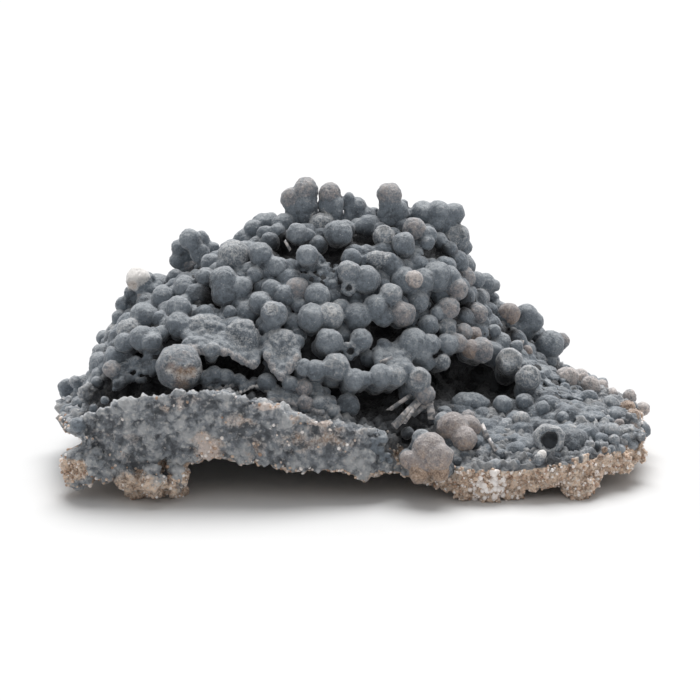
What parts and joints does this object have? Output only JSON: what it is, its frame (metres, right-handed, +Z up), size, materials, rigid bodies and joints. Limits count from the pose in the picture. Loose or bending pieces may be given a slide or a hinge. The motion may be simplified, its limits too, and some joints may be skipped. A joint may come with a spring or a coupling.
{
  "type": "botryoidal chalcedony",
  "caption": "Loose specimen of botryoidal chalcedony: slate blue-grey balls grown close together over a thin broken crust of tan matrix, standing on its underside.",
  "frame": {"origin": "centre of the bounding box's underside, on the surface that the specimen stands on", "axes": "+X along the specimen's long side, to the right as its show face is looked at; +Y away from the show face, towards the back; +Z up"},
  "size_m": [0.1192, 0.0764, 0.0542],
  "materials": {
    "chalcedony": "matte"
  },
  "bodies": {
    "root": {"chalcedony": "chalcedony"}
  },
  "joints": []
}
